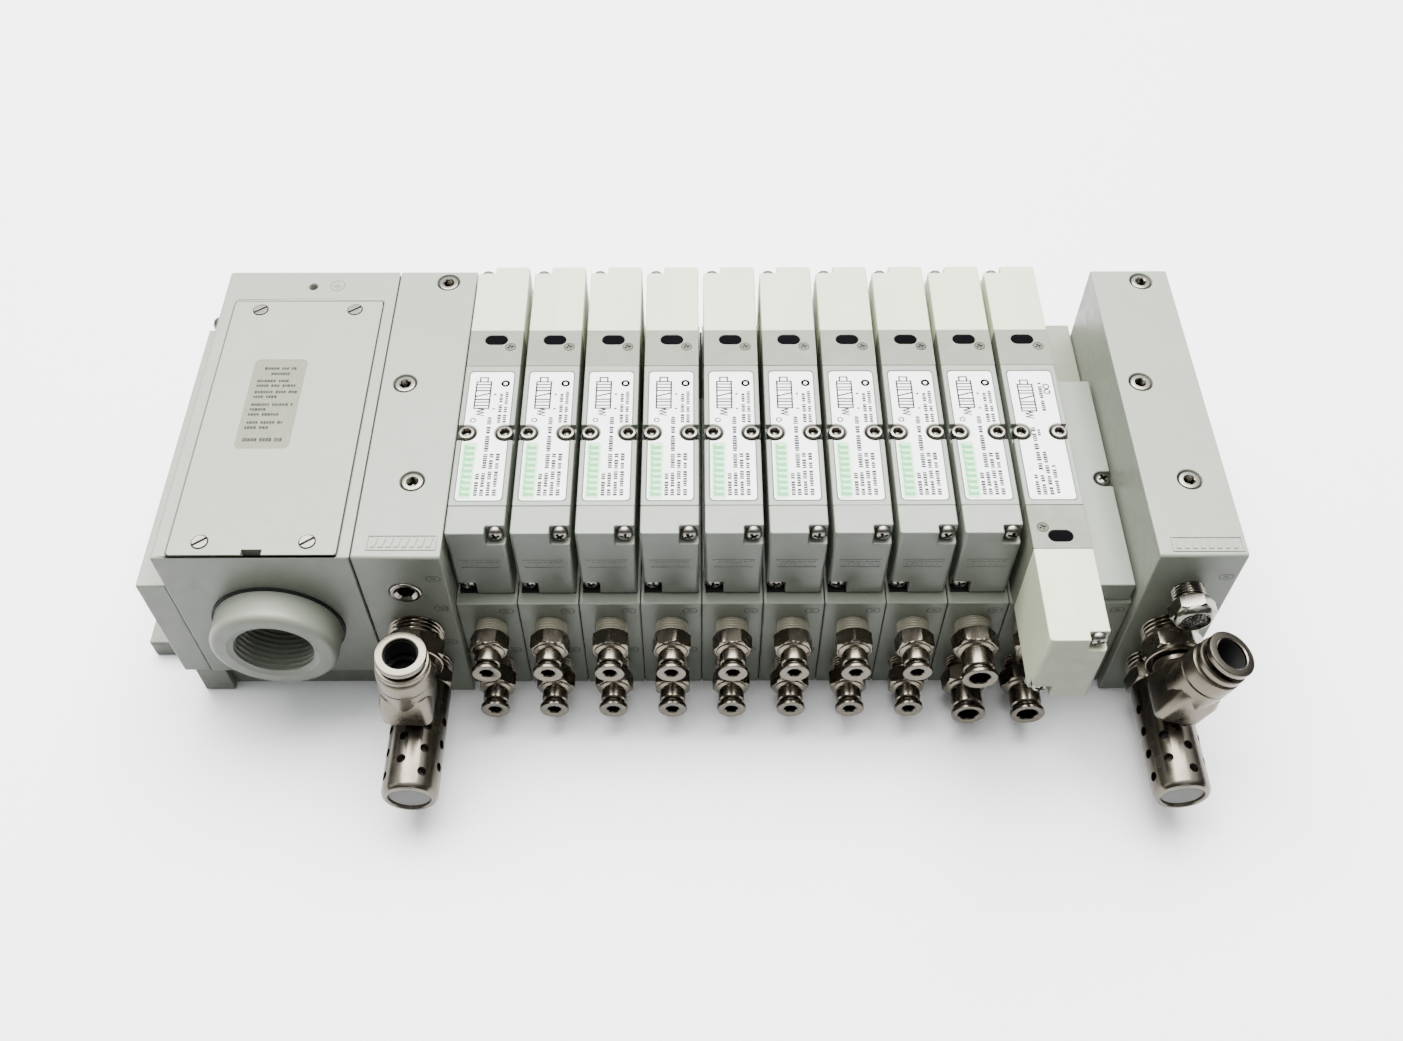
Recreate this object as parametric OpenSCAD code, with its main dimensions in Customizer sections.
// Solenoid directional valve bank: ten sub-base valves and one blanked station
// on a bar manifold, with a wiring box, two end plates and their pipe fittings.
// Local frame while drawing: X from the left side of station 1, Y back from the
// front of the end plates, Z up from the underside. place() moves the finished
// piece so that the origin is the middle of the bank's underside.

/* [Bank] */
// Width of one station
pitch = 19; // [18.5:0.1:20]
// Front face of the manifold blocks
block_front = 3.3; // [2:0.1:5]
// Joint between a manifold block and its wiring block
block_back = 88; // [86:0.5:90]
// Back face of the wiring blocks
wiring_back = 122.7; // [120:0.1:124]
// Height of the manifold blocks
block_h = 47.6; // [46:0.1:49]

/* [End plates] */
// Width of an end plate
plate_w = 26; // [25:0.5:28]
// Depth of the end plates and of the wiring box
plate_d = 119; // [115:1:121]
// Height of the end plates and of the wiring box
plate_h = 77.4; // [76:0.1:79]
// Height of the pilot port axis
pilot_z = 59; // [57:0.5:60]
// Height of the supply port axis
supply_z = 38; // [37:0.5:39]
// Height of the exhaust port axis
exhaust_z = 18; // [17:0.5:19]

/* [Valves] */
// Width of one valve
valve_w = 17.3; // [16.8:0.1:18]
// Top of the valves above the underside
valve_top = 79.6; // [79:0.1:81]
// Front face of the end caps
cap_front = 6.8; // [6:0.1:8]
// Joint between end cap and valve body
body_front = 17.2; // [16.8:0.1:18]
// Joint between valve body and pilot block
body_back = 73.4; // [73:0.1:75]
// Joint between pilot block and solenoid cover
pilot_back = 88.9; // [88:0.1:90]
// Length of a solenoid cover
solenoid_len = 30.1; // [28:0.1:31]
// Height of the spool axis
spool_z = 62; // [61:0.5:63]
// Travel of a spool
spool_travel = 4; // [3:0.5:4]
// Travel of a manual override button
override_travel = 1.5; // [1:0.1:1.8]

/* [Wiring box] */
// Width of the wiring box
box_w = 58; // [56:1:60]
// Underside of the wiring box
box_bottom = 13; // [12:0.5:14]
// Wall thickness of the wiring box
box_wall = 3; // [2.5:0.5:4]
// Thickness of the lift-off cover
cover_t = 3; // [2.5:0.1:3.5]
// Thickness of the side cover plate
side_cover_t = 9; // [7:0.5:10]

/* [Pipe fittings] */
// Height of the upper row of outlet ports
upper_z = 35.2; // [34:0.1:36]
// Height of the lower row of outlet ports
lower_z = 12.2; // [12:0.1:13]
// Bore radius for the small tube
small_tube_r = 2.05; // [2:0.01:2.1]
// Bore radius for the middle tube
middle_tube_r = 3.25; // [3.2:0.01:3.3]
// Bore radius for the supply tube
supply_tube_r = 4.85; // [4.8:0.01:4.9]
// Angle of the left supply elbow from upright
left_lean = 4; // [-10:1:10]
// Angle of the right supply elbow from upright
right_lean = 20; // [0:1:25]
// Front end of the exhaust silencers
silencer_front = -48; // [-50:0.5:-44]

/* [Hidden] */
$fn = 64;

e = 0.01;                    // overshoot of a cut past a face
stations = 11;
valves = 10;                 // the last station is blanked
bank_w = stations * pitch;
box_joint = 0.4;             // gasket between the wiring box and the end plate
box_right = -plate_w - box_joint;
box_left = -plate_w - box_w;
box_x = -plate_w - box_w / 2;
gasket_t = 0.8;
half_joint = 0.15;           // half the joint between two manifold blocks
wiring_gap = 0.4;            // half the gap between two wiring blocks
valve_base = block_h + gasket_t;
half_w = valve_w / 2;
solenoid_back = pilot_back + solenoid_len;
front_pilot_front = 1.3;                     // front pilot block of valve 10
front_cover_front = front_pilot_front - solenoid_len - 1.2;
left_x = -plate_w / 2;                       // port axes of the end plates
right_x = bank_w + plate_w / 2;

bore_r = 3.9;                // spool bore in the body
sleeve_r = 2.8;              // bore of the sleeve
sleeve_front = 22;
sleeve_back = 68;
fit = 0.05;                  // radial clearance of every sliding fit
port_y = [25, 35, 45, 55, 65];
port_dx = [-2.5, 2.5, -2.5, 2.5, -2.5];
port_r = 1.6;
gallery_r = 5;
gallery_z = 24;
npt_small_r = 4.9;
npt_middle_r = 5.6;
npt_supply_r = 8;
screw_dx = 5.9;              // hold-down screws
screw_y = 45.5;
screw_r = 1.5;
hold_seat = 2.2;             // depth of their seats
blank_seat = 54.2;           // height of the seats on the blank plate
corner_dx = 5.7;             // corner screws of caps and covers
corner_dz = 2.9;
corner_r = 1.25;
notch_w = 5.8;               // notches that hold their heads
notch_h = 5.6;
cover_seat = 3;
cover_wall = 1.5;            // wall of a solenoid cover
lens_y = 84.8;
lens_size = [7.2, 4];
override_dx = 4.8;
override_y = 81.7;
override_r = 1.6;
override_len = 5;
rod_r = 2;
rod_yz = [[18, 30], [82, 43.3], [45, 5]];
rod_left = -18;              // left end of the tie rods
rod_right = bank_w + plate_w - 4.4;          // underside of their heads
coil_z = spool_z;
armature_r = 3.1;
elbow_y = -22.5;             // plane of the elbow arms
elbow_reach = 23.5;
silencer_r = 8.7;
silencer_bore = 6.4;
silencer_hole_r = 1.45;
silencer_rows = 7;
silencer_first = 5.8;        // first row of holes behind the front end
silencer_pitch = 3.85;
hub_z = 42;
hub_r = 19.4;
hub_front = -10.5;
conduit_r = 12.1;
cover_x0 = box_x - 24.6;
cover_w = 49.2;
cover_y0 = 1.2;
cover_d = 103.6;
cover_screws_xy = [[-15.7, 5.8], [15.7, 5.8], [-15.7, 101], [15.7, 101]];
seat_r = 3.8;                // counterbores of the socket head screws
plate_seat = 4.2;
plate_screws_xy = [[16.5, 114], [7.5, 68], [14.6, 28.3]];
base_front = block_front + 0.2;
lug_back = 14;
foot_left = -109.7;
foot_t = 8;
foot_hole = [-101, 29];
foot_hole_r = 2.75;
side_screw_y = [12, 94];     // screws of the side cover
side_screw_z = 40;
earth_y = 102.4;             // earth screw on the left wall
earth_z = 69;
earth_head = [2.9, 4.9];     // radius and height of its head
bracket_gap = 0.05;          // bolted pieces that meet flat, kept apart as solids
wire_y = 104;                // way of the wires from the box along the bank
wire_z = 24;
wire_r = 6;
wire_x_end = bank_w - pitch / 2;
spool_front = 20;
spool_clear = 0.4;           // room left at the end of a spool's travel
spool_back = body_back + spool_travel;

body_colour = [0.76, 0.79, 0.74];
dark_colour = [0.12, 0.12, 0.12];
cream_colour = [0.88, 0.89, 0.82];
nickel = [0.74, 0.71, 0.65];
steel = [0.8, 0.8, 0.8];

function station_x(i) = (i + 0.5) * pitch;

module place() {
    translate([-bank_w / 2, -plate_d / 2, 0]) children();
}

// ---------- general shapes ----------

// Cylinder along Y from y0 to y1
module rod_y(r, y0, y1, x = 0, z = 0) {
    translate([x, y0, z]) rotate([-90, 0, 0]) cylinder(r = r, h = y1 - y0);
}

// Cylinder along X from x0 to x1
module rod_x(r, x0, x1, y = 0, z = 0) {
    translate([x0, y, z]) rotate([0, 90, 0]) cylinder(r = r, h = x1 - x0);
}

// Hexagonal prism along Y, sized across its flats
module hex_y(flats, y0, y1, x = 0, z = 0, turn = 0) {
    translate([x, y0, z]) rotate([-90, turn, 0])
        cylinder(r = flats / 2 / cos(30), h = y1 - y0, $fn = 6);
}

// Block between two corners
module block(a, b) {
    translate(a) cube([b[0] - a[0], b[1] - a[1], b[2] - a[2]]);
}

// Block whose four upright edges are rounded
module rounded_block(a, b, r) {
    translate(a) linear_extrude(b[2] - a[2])
        rounded_rectangle([b[0] - a[0], b[1] - a[1]], r);
}

module rounded_rectangle(size, r) {
    union() {
        translate([r, 0]) square([size[0] - 2 * r, size[1]]);
        translate([0, r]) square([size[0], size[1] - 2 * r]);
        for (x = [r, size[0] - r], y = [r, size[1] - r])
            translate([x, y]) circle(r = r, $fn = 32);
    }
}

// Oblong of a given length and width with round ends, along X
module oblong(length, width, h) {
    straight = length - width;
    linear_extrude(h) {
        square([straight, width], center = true);
        for (side = [-1, 1]) translate([side * straight / 2, 0]) circle(r = width / 2, $fn = 32);
    }
}

// Cross recess cut into a screw head at the origin, pointing up
module cross_recess(size, depth) {
    for (a = [0, 90]) rotate([0, 0, a + 20])
        translate([-size / 2, -size / 8, -depth]) cube([size, size / 4, depth + e]);
}

// Pan head screw: underside of its head at the origin, head up
module pan_screw(head_r, head_h, shank_r, shank_len) {
    difference() {
        union() {
            translate([0, 0, -shank_len]) cylinder(r = shank_r, h = shank_len + e, $fn = 24);
            rotate_extrude($fn = 32) polygon([
                [0, 0], [head_r, 0], [head_r, head_h * 0.45], [head_r * 0.8, head_h * 0.85],
                [head_r * 0.5, head_h], [0, head_h]]);
        }
        translate([0, 0, head_h]) cross_recess(head_r * 1.3, head_h * 0.5);
    }
}

// Socket head screw: underside of its head at the origin, head up
module socket_screw(head_r, head_h, socket_flats, shank_r, shank_len) {
    difference() {
        union() {
            translate([0, 0, -shank_len]) cylinder(r = shank_r, h = shank_len + e, $fn = 24);
            cylinder(r = head_r, h = head_h, $fn = 40);
        }
        translate([0, 0, head_h * 0.4])
            cylinder(r = socket_flats / 2 / cos(30), h = head_h, $fn = 6);
    }
}

// ---------- wiring box ----------

module terminal_box() color(body_colour) place() difference() {
    block([box_left, 0, box_bottom], [box_right, plate_d, plate_h]);
    // inside, in two levels so that a ledge carries the cover
    block([box_left + box_wall, 5, box_bottom + box_wall],
          [box_right - box_wall, plate_d - box_wall, plate_h - 7]);
    block([cover_x0 + 2.4, 10.5, plate_h - 7 - e], [cover_x0 + cover_w - 2.4, 96, plate_h]);
    // seat of the cover and its seal
    block([cover_x0 - 0.3, cover_y0 - 0.3, plate_h - cover_t - 0.8],
          [cover_x0 + cover_w + 0.3, cover_y0 + cover_d + 0.3, plate_h + e]);
    for (p = cover_screws_xy)
        translate([box_x + p[0], p[1], plate_h - 12]) cylinder(r = 1.5 + fit, h = 12, $fn = 24);
    // earth screw access, conduit, and the way through to the end plate
    translate([box_x, 112.1, plate_h - 12]) cylinder(r = 1.4, h = 12 + e, $fn = 24);
    rod_y(15, -e, 5 + e, box_x, hub_z);
    rod_x(wire_r, box_right - box_wall - e, box_right + e, wire_y, wire_z);
    for (y = side_screw_y) rod_x(2, box_left - e, box_left + box_wall + e, y, side_screw_z);
    rod_x(1.6, box_left - e, box_left + box_wall + e, earth_y, earth_z);
}

module box_base() color(body_colour * 0.8) place() {
    block([box_left, base_front, 0], [box_right, 115, box_bottom]);
    // lug round the front left corner
    block([box_left - 6, 0.6, 0], [box_left - bracket_gap, lug_back, box_bottom]);
    block([box_left - 6, 0.6, 0], [box_left + 4, base_front - bracket_gap, box_bottom]);
    // foot
    difference() {
        block([foot_left, lug_back + bracket_gap, 0], [box_left - bracket_gap, 44, foot_t]);
        translate([foot_hole[0], foot_hole[1], -e]) cylinder(r = foot_hole_r, h = foot_t + 2 * e);
    }
}

module side_cover() color(body_colour) place() {
    difference() {
        block([box_left - side_cover_t, 0, box_bottom + 0.5], [box_left, 106, 63]);
        for (y = side_screw_y) {
            rod_x(2, box_left - side_cover_t - e, box_left + e, y, side_screw_z);
            rod_x(seat_r, box_left - side_cover_t - e, box_left - side_cover_t + 4, y, side_screw_z);
        }
    }
}

module box_seals() color(dark_colour) place() {
    z = plate_h - cover_t - 0.8;
    difference() {
        block([cover_x0, cover_y0, z], [cover_x0 + cover_w, cover_y0 + cover_d, z + 0.8]);
        block([cover_x0 + 2.4, 10.5, z - e], [cover_x0 + cover_w - 2.4, 96, z + 1]);
        for (p = cover_screws_xy)
            translate([box_x + p[0], p[1], z - e]) cylinder(r = 1.8, h = 1, $fn = 24);
    }
    difference() {
        rod_y(hub_r + 0.8, -0.8, 0, box_x, hub_z);
        rod_y(15, -0.8 - e, e, box_x, hub_z);
    }
    // gasket between the box and the end plate
    difference() {
        block([box_right, 1, box_bottom + 1], [-plate_w, plate_d - 1, plate_h - 1]);
        rod_x(wire_r, box_right - e, -plate_w + e, wire_y, wire_z);
    }
}

module conduit_hub() color(body_colour) place() {
    difference() {
        union() {
            rod_y(hub_r, hub_front, -0.8, box_x, hub_z);
            rod_y(15, -0.8 - e, 9, box_x, hub_z);
        }
        rod_y(conduit_r, hub_front - e, 9 + e, box_x, hub_z);
    }
    // lock nut inside the box
    difference() {
        hex_y(37, 5, 8.5, box_x, hub_z);
        rod_y(15, 5 - e, 8.5 + e, box_x, hub_z);
    }
}

module terminal_strip() color([0.2, 0.35, 0.25]) place() {
    floor_z = box_bottom + box_wall;
    rail_z = floor_z + 4;
    block([box_x - 22, 14, rail_z], [box_x + 22, 106, rail_z + 1.6]);
    for (x = [-18, 18], y = [20, 100])
        translate([box_x + x, y, floor_z]) cylinder(r = 2.5, h = 4 - bracket_gap, $fn = 24);
    for (x = [-12, 12]) difference() {
        block([box_x + x - 5, 24, rail_z + 1.6 + bracket_gap], [box_x + x + 5, 96, rail_z + 13]);
        for (i = [0:13]) translate([box_x + x, 28 + i * 5, rail_z + 8]) {
            cylinder(r = 1.7, h = 6, $fn = 20);
            translate([-6, -1.3, -3]) cube([12, 2.6, 2.6]);
        }
    }
}

module terminal_cover() color(body_colour) place() difference() {
    rounded_block([cover_x0, cover_y0, plate_h - cover_t],
                  [cover_x0 + cover_w, cover_y0 + cover_d, plate_h], 1);
    for (p = cover_screws_xy) translate([box_x + p[0], p[1], 0]) {
        translate([0, 0, plate_h - cover_t - e]) cylinder(r = 1.5, h = 4, $fn = 24);
        translate([0, 0, plate_h - 1.6]) cylinder(r = 2.6, h = 4, $fn = 32);
    }
    // pry notch
    block([box_x - 3, cover_y0 - e, plate_h - cover_t - e], [box_x + 3, cover_y0 + 1.9, plate_h + e]);
}

module cover_screws() color(steel) place() {
    for (p = cover_screws_xy) translate([box_x + p[0], p[1], plate_h - 1.6]) difference() {
        union() {
            cylinder(r = 2.3, h = 1.9, $fn = 32);
            translate([0, 0, -8]) cylinder(r = 1.5, h = 8 + e, $fn = 24);
        }
        rotate([0, 0, 35]) translate([-3, -0.35, 1.1]) cube([6, 0.7, 2]);
    }
}

// ---------- end plates ----------

// Port passages of an end plate; inner is the X of the face against the bank
module plate_passages(x, inner) {
    lo = min(x, inner);
    hi = max(x, inner);
    overshoot_lo = inner < x ? e : 0;
    overshoot_hi = inner > x ? e : 0;
    rod_y(npt_small_r, -e, 10, x, pilot_z);
    rod_y(1.6, 9, 30, x, pilot_z);
    rod_y(npt_supply_r, -e, 15, x, supply_z);
    rod_y(gallery_r, 14, port_y[2], x, supply_z);
    translate([x, port_y[2], gallery_z]) cylinder(r = gallery_r - 0.5, h = supply_z - gallery_z);
    rod_y(npt_supply_r, -e, 15, x, exhaust_z);
    rod_y(4, 14, port_y[4], x, exhaust_z - 5);
    for (i = [0, 4])
        translate([x, port_y[i], exhaust_z - 5]) cylinder(r = 3.5, h = gallery_z - exhaust_z + 5);
    for (i = [0, 2, 4])
        rod_x(gallery_r - 0.6, lo - overshoot_lo, hi + overshoot_hi, port_y[i], gallery_z);
}

// Solid outline of an end plate with an eased top front edge
module plate_outline(x0) {
    translate([x0, 0, 0]) rotate([90, 0, 90]) linear_extrude(plate_w) difference() {
        square([plate_d, plate_h]);
        translate([0, plate_h - 1]) difference() {
            translate([-e, 0]) square([1 + e, 1 + e]);
            translate([1, 0]) circle(r = 1, $fn = 32);
        }
    }
}

module end_plate(x0, port_x, inner) {
    difference() {
        plate_outline(x0);
        plate_passages(port_x, inner);
        for (p = plate_screws_xy) translate([x0 + p[0], p[1], 0]) {
            translate([0, 0, plate_h - plate_seat]) cylinder(r = seat_r, h = 5);
            translate([0, 0, plate_h - 14]) cylinder(r = 2, h = 14, $fn = 24);
        }
    }
}

module left_end_plate() color(body_colour) place() difference() {
    end_plate(-plate_w, left_x, 0);
    for (q = rod_yz) rod_x(rod_r, rod_left, e, q[0], q[1]);
    rod_x(wire_r, -plate_w - e, e, wire_y, wire_z);
}

module right_end_plate() color(body_colour) place() difference() {
    end_plate(bank_w, right_x, bank_w);
    for (q = rod_yz) {
        rod_x(rod_r, bank_w - e, bank_w + plate_w, q[0], q[1]);
        rod_x(seat_r, rod_right, bank_w + plate_w + e, q[0], q[1]);
    }
}

module end_plate_screws() color(steel) place() {
    for (x0 = [-plate_w, bank_w], p = plate_screws_xy)
        translate([x0 + p[0], p[1], plate_h - plate_seat]) socket_screw(3.5, 4, 3, 2, 9);
    for (y = side_screw_y) translate([box_left - side_cover_t + 4, y, side_screw_z])
        rotate([0, -90, 0]) socket_screw(3.5, 3.8, 3, 2, side_cover_t - 4 + box_wall);
    translate([box_left, earth_y, earth_z]) rotate([0, -90, 0])
        pan_screw(earth_head[0], earth_head[1], 1.6, box_wall);
}

module pipe_plug() color(steel) place() difference() {
    rod_y(npt_small_r, -0.4, 8, left_x, pilot_z);
    hex_y(4.8, -0.5, 4, left_x, pilot_z);
}

module breather() color(steel) place() difference() {
    union() {
        rod_y(npt_small_r, -4.5, 8, right_x, pilot_z);
        hex_y(12, -9.5, -4.5, right_x, pilot_z, 15);
        translate([right_x, -9.5 + e, pilot_z]) rotate([90, 0, 0])
            cylinder(r1 = 6, r2 = 5.2, h = 1.6);
    }
    rod_y(4.2, -12, -10.2, right_x, pilot_z);
    rod_y(1.5, -7, 8 + e, right_x, pilot_z);
}

// ---------- manifold ----------

module manifold_block(i) {
    x0 = i * pitch + half_joint;
    x1 = (i + 1) * pitch - half_joint;
    xc = station_x(i);
    r = i == 8 || i == 9 ? npt_middle_r : npt_small_r;
    difference() {
        block([x0, block_front, 0], [x1, block_back, block_h]);
        for (z = [upper_z, lower_z]) if (i < valves) rod_y(r, block_front - e, 14, xc, z);
        if (i < valves) {
            rod_y(1.8, 13, port_y[1], xc + port_dx[1], upper_z);
            rod_y(1.8, 13, port_y[3], xc + port_dx[3], lower_z);
            for (k = [0:4]) {
                bottom = k == 1 ? upper_z : k == 3 ? lower_z : gallery_z;
                translate([xc + port_dx[k], port_y[k], bottom])
                    cylinder(r = port_r, h = block_h - bottom + e, $fn = 24);
            }
        }
        for (k = [0, 2, 4]) rod_x(gallery_r, x0 - e, x1 + e, port_y[k], gallery_z);
        for (q = rod_yz) rod_x(rod_r, x0 - e, x1 + e, q[0], q[1]);
        for (side = [-1, 1]) translate([xc + side * screw_dx, screw_y, block_h - 8])
            cylinder(r = screw_r, h = 8 + e, $fn = 24);
    }
}

module manifold_blocks() color(body_colour) place() {
    for (i = [0:stations - 1]) manifold_block(i);
}

// Gaskets between the blocks and under the valves
module gaskets() color(dark_colour) place() {
    for (i = [0:stations]) block_gasket(i);
    for (i = [0:valves - 1]) valve_gasket(station_x(i));
}

module block_gasket(i) {
    x0 = i == 0 ? 0 : i * pitch - half_joint;
    x1 = i == stations ? bank_w : i * pitch + half_joint;
    difference() {
        block([x0, block_front + 0.5, 0.5], [x1, block_back - 0.5, block_h - 0.5]);
        for (k = [0, 2, 4]) rod_x(gallery_r, x0 - e, x1 + e, port_y[k], gallery_z);
        for (q = rod_yz) rod_x(rod_r, x0 - e, x1 + e, q[0], q[1]);
    }
}

module valve_gasket(xc) difference() {
    block([xc - half_w + 0.3, cap_front + 0.6, block_h],
          [xc + half_w - 0.3, pilot_back - 0.5, valve_base]);
    for (k = [0:4]) translate([xc + port_dx[k], port_y[k], block_h - e])
        cylinder(r = port_r, h = 1, $fn = 24);
    for (side = [-1, 1]) translate([xc + side * screw_dx, screw_y, block_h - e])
        cylinder(r = screw_r, h = 1, $fn = 24);
}

module tie_rods() color(steel) place() {
    for (q = rod_yz) {
        rod_x(rod_r, rod_left, rod_right + e, q[0], q[1]);
        translate([rod_right, q[0], q[1]]) rotate([0, 90, 0])
            socket_screw(3.5, 4, 3, rod_r, 1);
    }
}

// Moulded block behind each manifold block: it carries the wires to the solenoids
module wiring_block(i) {
    x0 = i * pitch + wiring_gap;
    x1 = (i + 1) * pitch - wiring_gap;
    difference() {
        block([x0, block_back + e, 0], [x1, wiring_back, block_h]);
        rod_x(wire_r, x0 - e, i == valves ? wire_x_end : x1 + e, wire_y, wire_z);
        // channel of the plug-in lead; the blanked station has none
        if (i < valves) translate([(x0 + x1) / 2, wire_y, wire_z])
            cylinder(r = 3, h = block_h, $fn = 32);
    }
}

module wiring_blocks() color(body_colour) place() {
    for (i = [0:stations - 1]) wiring_block(i);
}

// ---------- valves ----------

// Seat of a hold-down screw, open to the side of the valve
module hold_down_seat(side) {
    cylinder(r = 3, h = 4, $fn = 40);
    translate([side > 0 ? 0 : -4, -3, 0]) cube([4, 6, 4]);
}

module valve_body(i) {
    xc = station_x(i);
    difference() {
        block([xc - half_w, body_front, valve_base], [xc + half_w, body_back, valve_top]);
        rod_y(bore_r, body_front - e, body_back + e, xc, spool_z);
        // five ports to the manifold
        for (k = [0:4]) translate([xc + port_dx[k], port_y[k], valve_base - e])
            cylinder(r = port_r, h = spool_z - valve_base, $fn = 24);
        // hold-down screws
        for (side = [-1, 1]) translate([xc + side * screw_dx, screw_y, 0]) {
            translate([0, 0, valve_base - e]) cylinder(r = screw_r, h = 40, $fn = 24);
            translate([0, 0, valve_top - hold_seat]) hold_down_seat(side);
        }
        // corner screws of the cap and of the rear cover
        rod_y(corner_r, body_front - e, 28, xc + corner_dx, valve_top - corner_dz);
        rod_y(corner_r, body_front - e, 28, xc - corner_dx, valve_base + corner_dz);
        rod_y(corner_r, 66, body_back + e, xc - corner_dx, valve_top - corner_dz);
        rod_y(corner_r, 66, body_back + e, xc + corner_dx, valve_base + corner_dz);
        // seat of the label
        translate([xc - 7.1, 19, valve_top - 0.35]) linear_extrude(1)
            rounded_rectangle([14.2, 52], 1.2);
    }
}

module valve_bodies() color(body_colour) place() {
    for (i = [0:valves - 1]) valve_body(i);
}

module valve_sleeves() color([0.85, 0.8, 0.6]) place() {
    for (i = [0:valves - 1]) difference() {
        rod_y(bore_r, sleeve_front, sleeve_back, station_x(i), spool_z);
        rod_y(sleeve_r, sleeve_front - e, sleeve_back + e, station_x(i), spool_z);
        for (k = [0:4], a = [0, 60, 120]) translate([station_x(i), port_y[k], spool_z])
            rotate([0, a, 0]) translate([0, 0, -5]) cylinder(r = 0.9, h = 10, $fn = 20);
    }
}

// Spool at rest, against the back; the last valve has a piston at each end
module spool(i) {
    xc = station_x(i);
    color(steel) place() {
        rod_y(1.6, spool_front, spool_back, xc, spool_z);
        for (k = [0:3]) rod_y(sleeve_r - fit, 28.5 + k * 10, 33.5 + k * 10, xc, spool_z);
        rod_y(sleeve_r - fit, spool_front, spool_front + 4, xc, spool_z);
        rod_y(bore_r - fit, spool_back - 3.2, spool_back, xc, spool_z);
        if (i == valves - 1)
            rod_y(bore_r - fit, body_front + spool_clear, spool_front + 0.6, xc, spool_z);
    }
}

// Square notch for a corner screw: side is -1 for left or 1 for right
module corner_notch(xc, side, top, y0, y1) {
    lo = top ? valve_top - notch_h : valve_base - e;
    hi = top ? valve_top + e : valve_base + notch_h;
    x0 = side < 0 ? xc - half_w - e : xc + half_w - notch_w;
    block([x0, y0, lo], [x0 + notch_w + e, y1, hi]);
}

module end_cap(i) {
    xc = station_x(i);
    difference() {
        union() {
            rounded_block([xc - half_w, cap_front, valve_base],
                          [xc + half_w, body_front - e, valve_top], 1);
            block([xc - half_w, cap_front + 3, valve_base], [xc + half_w, body_front - e, valve_top]);
        }
        corner_notch(xc, 1, true, cap_front - 1, cap_front + 3);
        corner_notch(xc, -1, false, cap_front - 1, cap_front + 3);
        rod_y(corner_r, cap_front, body_front + e, xc + corner_dx, valve_top - corner_dz);
        rod_y(corner_r, cap_front, body_front + e, xc - corner_dx, valve_base + corner_dz);
        rod_y(3.1, 9.6, body_front + e, xc, spool_z);
    }
}

module end_caps() color(body_colour) place() {
    for (i = [0:valves - 2]) end_cap(i);
}

// Pilot block drawn at the back of a valve; its mirror image serves the front
module pilot_block_shape(y0, y1) {
    depth = y1 - y0;
    difference() {
        block([-half_w, 0, valve_base], [half_w, depth, valve_top]);
        rod_y(bore_r, -e, spool_travel + spool_clear, 0, spool_z);
        rod_y(0.6, 4, depth + e, 0, spool_z);
        translate([0, lens_y - body_back, valve_top - 1.2])
            oblong(lens_size[0] + 0.1, lens_size[1] + 0.1, 2);
        translate([override_dx, override_y - body_back,
                   valve_top - override_len - override_travel - 1])
            cylinder(r = override_r + fit, h = 12, $fn = 32);
        rod_y(corner_r, -e, depth + e, -corner_dx, valve_top - corner_dz);
        rod_y(corner_r, -e, depth + e, corner_dx, valve_base + corner_dz);
    }
}

module pilot_blocks() color(body_colour * 0.97) place() {
    for (i = [0:valves - 1])
        translate([station_x(i), body_back + e, 0]) pilot_block_shape(body_back + e, pilot_back);
    translate([station_x(valves - 1), body_front - e, 0]) rotate([0, 0, 180])
        pilot_block_shape(0, body_front - e - front_pilot_front);
}

// Solenoid cover drawn behind a joint at y = 0, open towards the pilot block
module solenoid_cover_shape(length) {
    difference() {
        union() {
            rounded_block([-half_w, 0, valve_base], [half_w, length, valve_top], 1.4);
            block([-half_w, 0, valve_base], [half_w, length - 4, valve_top]);
        }
        difference() {
            block([-half_w + cover_wall, -e, valve_base + cover_wall],
                  [half_w - cover_wall, length - cover_wall, valve_top - cover_wall]);
            block([-half_w, length - 6, valve_top - notch_h - cover_wall],
                  [-half_w + notch_w + cover_wall, length, valve_top]);
            block([half_w - notch_w - cover_wall, length - 6, valve_base],
                  [half_w, length, valve_base + notch_h + cover_wall]);
        }
        translate([0, length - cover_seat, 0]) {
            corner_notch(0, -1, true, 0, 5);
            corner_notch(0, 1, false, 0, 5);
        }
        rod_y(corner_r, length - 8, length, -corner_dx, valve_top - corner_dz);
        rod_y(corner_r, length - 8, length, corner_dx, valve_base + corner_dz);
    }
}

module front_solenoid() {
    translate([station_x(valves - 1), front_pilot_front - e, 0]) rotate([0, 0, 180]) children();
}

module rear_solenoid(i) {
    translate([station_x(i), pilot_back + e, 0]) children();
}

module solenoid_covers() color(cream_colour) place() {
    for (i = [0:valves - 1]) rear_solenoid(i) solenoid_cover_shape(solenoid_len);
    front_solenoid() solenoid_cover_shape(front_pilot_front - front_cover_front);
}

// Wound coil on its bobbin, with the fixed core that the armature is drawn to
module coil_shape() {
    difference() {
        union() {
            rod_y(6, 1.2, 22, 0, coil_z);
            for (y = [1.2, 20.8]) rod_y(6.9, y, y + 1.2, 0, coil_z);
        }
        rod_y(armature_r + fit, 1, 15.2, 0, coil_z);
        rod_y(armature_r, 15, 23, 0, coil_z);
    }
    rod_y(armature_r, 15.2, 22.6, 0, coil_z);
}

module solenoid_coils() color([0.55, 0.3, 0.15]) place() {
    for (i = [0:valves - 1]) rear_solenoid(i) coil_shape();
    front_solenoid() coil_shape();
}

module armature_shape() {
    rod_y(armature_r, 1.4, 13.6, 0, coil_z);
    rod_y(0.9, 0.2, 1.5, 0, coil_z);
}

module armatures() color(steel) place() {
    for (i = [0:valves - 1]) rear_solenoid(i) armature_shape();
}

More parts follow.
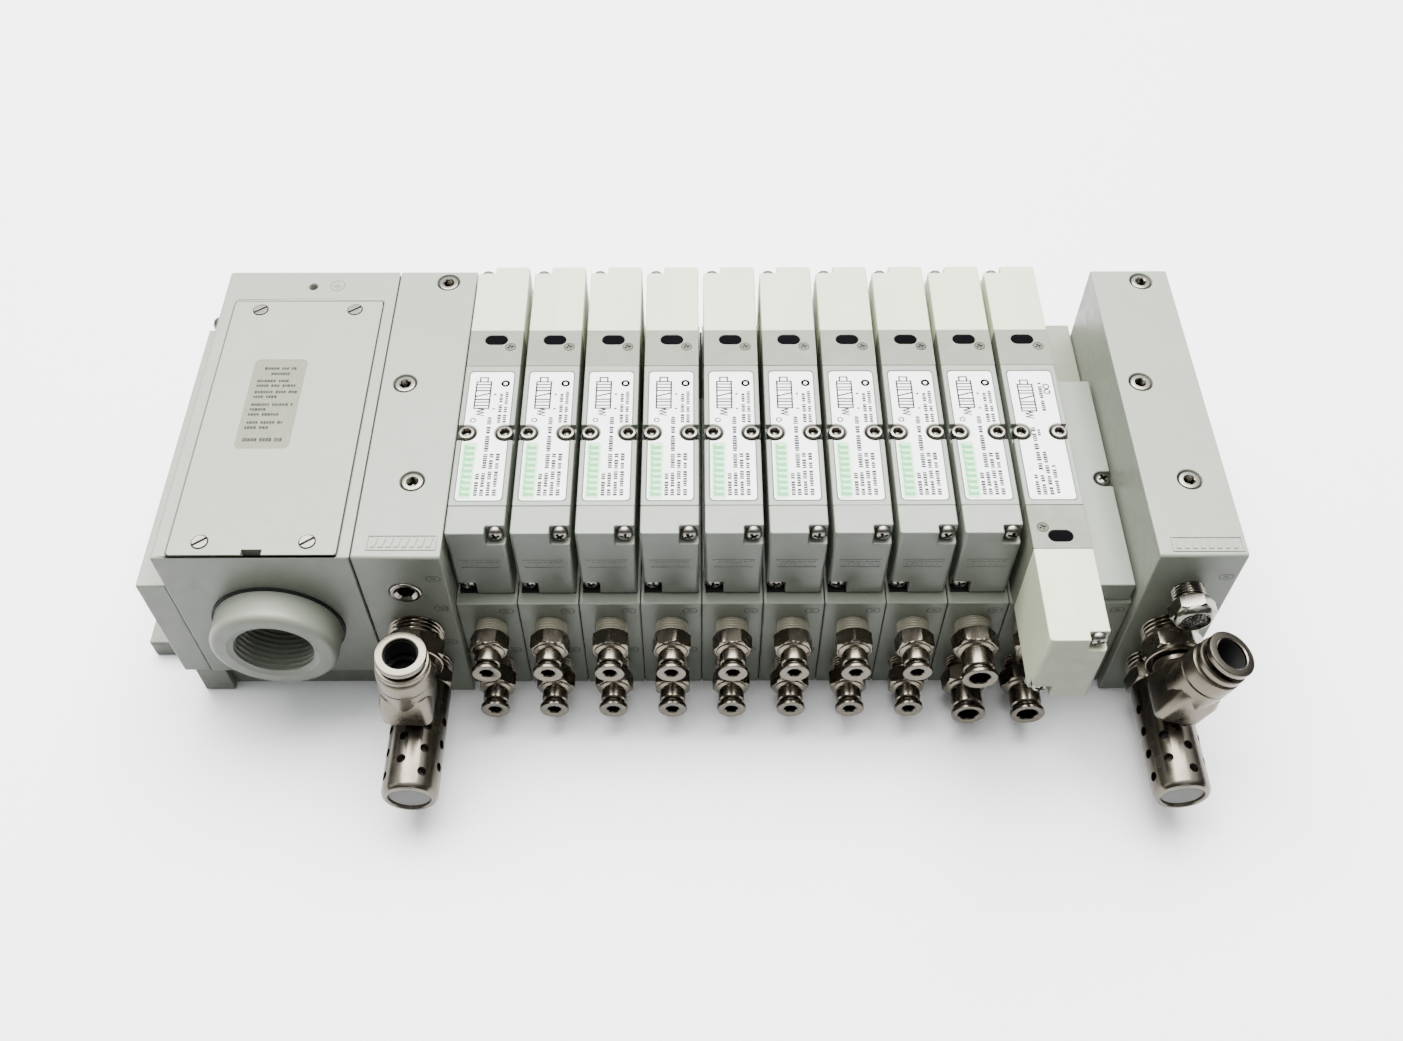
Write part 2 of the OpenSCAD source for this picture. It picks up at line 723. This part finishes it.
module armature_10_front() color(steel) place() front_solenoid() armature_shape();

// Square-wire coil spring along Y
module coil_spring(r, wire, y0, y1, turns) {
    steps = 10 * turns;
    corners = [[-1, -1], [1, -1], [1, 1], [-1, 1]] * (wire / 2);
    points = [for (s = [0:steps], c = corners)
        let (a = 36 * s, y = y0 + wire / 2 + (y1 - y0 - wire) * s / steps)
        [(r + c[0]) * cos(a), y + c[1], (r + c[0]) * sin(a)]];
    sides = [for (s = [0:steps - 1], k = [0:3])
        [4 * s + k, 4 * s + (k + 1) % 4, 4 * s + 4 + (k + 1) % 4, 4 * s + 4 + k]];
    ends = [[3, 2, 1, 0], [for (k = [0:3]) 4 * steps + k]];
    polyhedron(points, concat(sides, ends), convexity = 6);
}

module return_springs() color(steel) place() {
    for (i = [0:valves - 2]) translate([station_x(i), 0, spool_z])
        coil_spring(2.4, 0.7, 9.8, spool_front - spool_travel - spool_clear, 4);
}

module lens_shape() {
    translate([0, lens_y - body_back, valve_top - 1.2]) oblong(lens_size[0], lens_size[1], 1.25);
}

module indicator_lenses() color(dark_colour) place() {
    for (i = [0:valves - 1]) translate([station_x(i), body_back, 0]) lens_shape();
    translate([station_x(valves - 1), body_front, 0]) rotate([0, 0, 180]) lens_shape();
}

module override_shape() {
    translate([override_dx, override_y - body_back, valve_top - override_len - 0.05]) difference() {
        cylinder(r = override_r, h = override_len, $fn = 32);
        translate([0, 0, override_len]) cross_recess(2, 0.5);
    }
}

module override(i) {
    color([0.45, 0.46, 0.42]) place() translate([station_x(i), body_back, 0]) override_shape();
}

module override_10_front() {
    color([0.45, 0.46, 0.42]) place()
        translate([station_x(valves - 1), body_front, 0]) rotate([0, 0, 180]) override_shape();
}

module cap_screws() color(steel) place() {
    for (i = [0:valves - 2]) for (s = [[1, valve_top - corner_dz], [-1, valve_base + corner_dz]])
        translate([station_x(i) + s[0] * corner_dx, cap_front + 3, s[1]]) rotate([90, 0, 0])
            pan_screw(2.5, 2.2, corner_r, 17);
    for (i = [0:valves - 1]) rear_solenoid(i) cover_screw_pair(solenoid_len);
    front_solenoid() cover_screw_pair(front_pilot_front - front_cover_front);
}

module cover_screw_pair(length) {
    for (s = [[-1, valve_top - corner_dz], [1, valve_base + corner_dz]])
        translate([s[0] * corner_dx, length - cover_seat, s[1]]) rotate([-90, 0, 0])
            pan_screw(2.5, 2.2, corner_r, length + 17);
}

module hold_down_screws() color(steel) place() {
    for (i = [0:valves - 1], side = [-1, 1])
        translate([station_x(i) + side * screw_dx, screw_y, valve_top - hold_seat])
            socket_screw(2.75, 2.6, 2.5, screw_r, valve_top - hold_seat - block_h + 7);
    for (side = [-1, 1])
        translate([station_x(stations - 1) + side * screw_dx, screw_y, blank_seat])
            pan_screw(2.75, 2.6, screw_r, blank_seat - block_h + 7);
}

module blank_plate() color(body_colour) place() {
    xc = station_x(stations - 1);
    difference() {
        block([xc - half_w, cap_front - 2.6, block_h],
              [xc + half_w, block_back - 0.2, blank_seat + 1.8]);
        for (side = [-1, 1]) translate([xc + side * screw_dx, screw_y, 0]) {
            translate([0, 0, block_h - e]) cylinder(r = screw_r, h = 12, $fn = 24);
            translate([0, 0, blank_seat]) hold_down_seat(side);
        }
    }
}

// ---------- outlet fittings ----------

// Straight push-in fitting pointing forward from the block face.
// s is [thread radius, hex flats, neck radius, tube radius, length to the collar face]
small_fit = [5.1, 11, 4.1, small_tube_r, 17.8];
middle_fit = [5.8, 13, 5, middle_tube_r, 20];
collar_gap = 1.2;
collar_t = 1.8;
collar_wall = 0.85;

function fitting_of(i) = i == 8 || i == 9 ? middle_fit : small_fit;

module fitting(s, thread_in, turn) {
    neck_end = -(s[4] - collar_t - collar_gap);
    difference() {
        union() {
            rod_y(thread_in, 0, 8, 0, 0);
            rod_y(s[0], -4.2, 0, 0, 0);
            hex_y(s[1], -9.8, -4.1, 0, 0, turn);
            translate([0, -9.7, 0]) rotate([90, 0, 0])
                cylinder(r1 = s[1] / 2, r2 = s[2], h = 1.3);
            rod_y(s[2], neck_end, -10.8, 0, 0);
        }
        rod_y(s[3] + collar_wall + fit, neck_end - e, neck_end + 5, 0, 0);
        rod_y(s[3], neck_end + 4, -1, 0, 0);
        rod_y(s[3] * 0.6, -2, 8 + e, 0, 0);
    }
}

module collar(s, flange_r) {
    face = -s[4];
    neck_end = face + collar_t + collar_gap;
    difference() {
        union() {
            rod_y(flange_r, face, face + collar_t, 0, 0);
            rod_y(s[3] + collar_wall, face + collar_t - e, neck_end + 3.6, 0, 0);
        }
        rod_y(s[3], face - e, neck_end + 4, 0, 0);
    }
}

module at_outlets() {
    for ($i = [0:valves - 1], z = [lower_z, upper_z]) {
        translate([station_x($i), block_front, z]) children();
    }
}

module tube_fittings() color(nickel) place() at_outlets()
    fitting(fitting_of($i), fitting_of($i)[0] - 0.2, 7 * $i);

module tube_collars() color(nickel) place() at_outlets()
    collar(fitting_of($i), $i > 7 ? 5.5 : 4.6);

// ---------- supply elbows and exhaust silencers ----------

module elbow_stems() color(nickel) place() for (x = [left_x, right_x]) difference() {
    union() {
        rod_y(npt_supply_r, 0, 14, x, supply_z);
        rod_y(8.6, -4.6, 0, x, supply_z);
        hex_y(17, -11, -4.5, x, supply_z, 10);
        rod_y(9.4, -12.4, -11 + e, x, supply_z);
        rod_y(4, -20, -12.3, x, supply_z);
    }
    rod_y(2.8, -20 - e, 14 + e, x, supply_z);
}

// Elbow body with its arm pointing up; the swivel axis is Y through the origin
module elbow_shape() {
    difference() {
        union() {
            rod_y(7.4, -elbow_y - 30.5, -elbow_y - 12.7, 0, 0);
            translate([-7.6, -8, -8.2]) cube([15.2, 16, 16]);
            cylinder(r = 8.3, h = 16.4);
            translate([0, 0, 16.4 - e]) cylinder(r = 7.2, h = 1.2);
            translate([0, 0, 17.5]) cylinder(r = 8, h = 2.2);
        }
        rod_y(4 + fit, 0, 10, 0, 0);
        translate([0, 0, 10]) cylinder(r = supply_tube_r, h = 5);
        translate([0, 0, 14]) cylinder(r = supply_tube_r + 1.2 + fit, h = 6);
        cylinder(r = 3.5, h = 12);
    }
}

module elbow_collar_shape() {
    difference() {
        union() {
            translate([0, 0, elbow_reach - 2.2]) cylinder(r = 7.6, h = 2.2);
            translate([0, 0, 15.6]) cylinder(r = supply_tube_r + 1.2, h = elbow_reach - 16);
        }
        translate([0, 0, 15]) cylinder(r = supply_tube_r, h = 10);
    }
}

module at_left_elbow() {
    translate([left_x, elbow_y, supply_z]) rotate([0, left_lean, 0]) children();
}

module at_right_elbow() {
    translate([right_x, elbow_y, supply_z]) rotate([0, right_lean, 0]) children();
}

module elbow_left() color(nickel) place() at_left_elbow() elbow_shape();

module elbow_right() color(nickel) place() at_right_elbow() elbow_shape();

module elbow_collar_left() color(nickel) place() at_left_elbow() elbow_collar_shape();

module elbow_collar_right() color(nickel) place() at_right_elbow() elbow_collar_shape();

module silencer(x, turn) difference() {
    union() {
        rod_y(npt_supply_r, 0, 14, x, exhaust_z);
        rod_y(8.6, -4.6, 0, x, exhaust_z);
        hex_y(17, -10, -4.5, x, exhaust_z, 20);
        rod_y(silencer_r, silencer_front, -9.9, x, exhaust_z);
    }
    rod_y(silencer_bore, silencer_front - e, -12, x, exhaust_z);
    rod_y(4.5, -13, 14 + e, x, exhaust_z);
    // rows of four holes, every other row turned by half a space
    for (row = [0:silencer_rows - 1], a = [0:90:270])
        translate([x, silencer_front + silencer_first + row * silencer_pitch, exhaust_z])
            rotate([0, turn + a + row % 2 * 45, 0]) translate([0, 0, 5.5])
                cylinder(r = silencer_hole_r, h = 4, $fn = 24);
}

module silencers() color(nickel) place() {
    silencer(left_x, 30);
    silencer(right_x, 15);
}

module silencer_elements() color([0.93, 0.93, 0.9]) place() for (x = [left_x, right_x]) {
    difference() {
        rod_y(silencer_bore - 0.5, silencer_front + 2.4, -13, x, exhaust_z);
        rod_y(4, silencer_front + 5, -13 + e, x, exhaust_z);
    }
    rod_y(silencer_bore - fit, silencer_front + 1, silencer_front + 2.4 + e, x, exhaust_z);
}

terminal_box();
box_base();
side_cover();
box_seals();
conduit_hub();
terminal_strip();
terminal_cover();
cover_screws();
left_end_plate();
right_end_plate();
end_plate_screws();
manifold_blocks();
gaskets();
tie_rods();
wiring_blocks();
valve_bodies();
valve_sleeves();
end_caps();
cap_screws();
pilot_blocks();
solenoid_covers();
solenoid_coils();
armatures();
armature_10_front();
return_springs();
indicator_lenses();
hold_down_screws();
blank_plate();
tube_fittings();
tube_collars();
elbow_stems();
elbow_left();
elbow_right();
elbow_collar_left();
elbow_collar_right();
silencers();
silencer_elements();
pipe_plug();
breather();
override(0);  // override_01
override(1);  // override_02
override(2);  // override_03
override(3);  // override_04
override(4);  // override_05
override(5);  // override_06
override(6);  // override_07
override(7);  // override_08
override(8);  // override_09
override(9);  // override_10
override_10_front();
spool(0);  // spool_01
spool(1);  // spool_02
spool(2);  // spool_03
spool(3);  // spool_04
spool(4);  // spool_05
spool(5);  // spool_06
spool(6);  // spool_07
spool(7);  // spool_08
spool(8);  // spool_09
spool(9);  // spool_10
